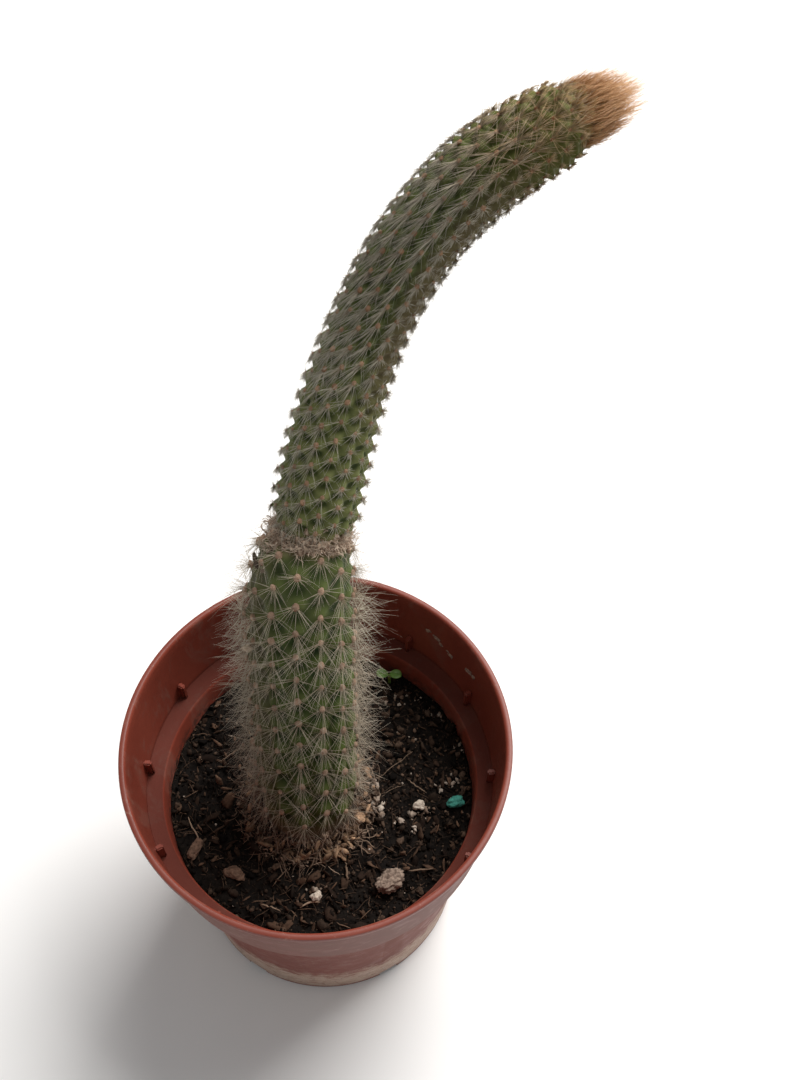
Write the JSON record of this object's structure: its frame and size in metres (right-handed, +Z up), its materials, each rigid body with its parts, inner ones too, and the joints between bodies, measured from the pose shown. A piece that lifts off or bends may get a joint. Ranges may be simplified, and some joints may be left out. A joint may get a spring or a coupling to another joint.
{
  "type": "potted cactus",
  "caption": "Monkey tail cactus in a round plastic nursery pot: a spiny old stem with a ring of dry wool and a long younger shoot that arches over from its top.",
  "frame": {"origin": "centre of the pot's underside, on the surface that the pot stands on", "axes": "+Z up, -Y towards the front that the picture shows, +X to the right: the plant leans back along +Y and its shoot arches over to +X"},
  "size_m": [0.0967, 0.1092, 0.2016],
  "materials": {
    "pot_plastic": "satin terracotta-coloured plastic, dusty, with a pale lime line low on the body",
    "potting_mix": "damp near-black peat and bark crumbs",
    "old_stem": "fresh green waxy skin under thin white spines",
    "shoot": "olive-green skin with close orange-brown areoles and grey-brown spines",
    "shoot_tip": "soft orange-brown young spines",
    "dry_wool": "dull matted brown wool and dead spines",
    "litter": "dry brown dead tissue, spines and root fibres",
    "pellet": "chalky turquoise",
    "clod": "dry crumbly cream-brown",
    "bark": "dull fibrous brown",
    "perlite": "chalky off-white",
    "seedling": "fresh green, slightly glossy"
  },
  "bodies": {
    "root": {"pot": "pot_plastic", "potting_mix": "potting_mix", "old_stem": "old_stem", "shoot": "shoot", "shoot_tip": "shoot_tip", "joint_wool": "dry_wool", "foot_litter": "litter", "fertiliser_pellet": "pellet", "clod": "clod", "bark_chip_left": "bark", "bark_chip_front": "bark", "perlite_right": "perlite", "perlite_front": "perlite", "seedling": "seedling"}
  },
  "joints": []
}
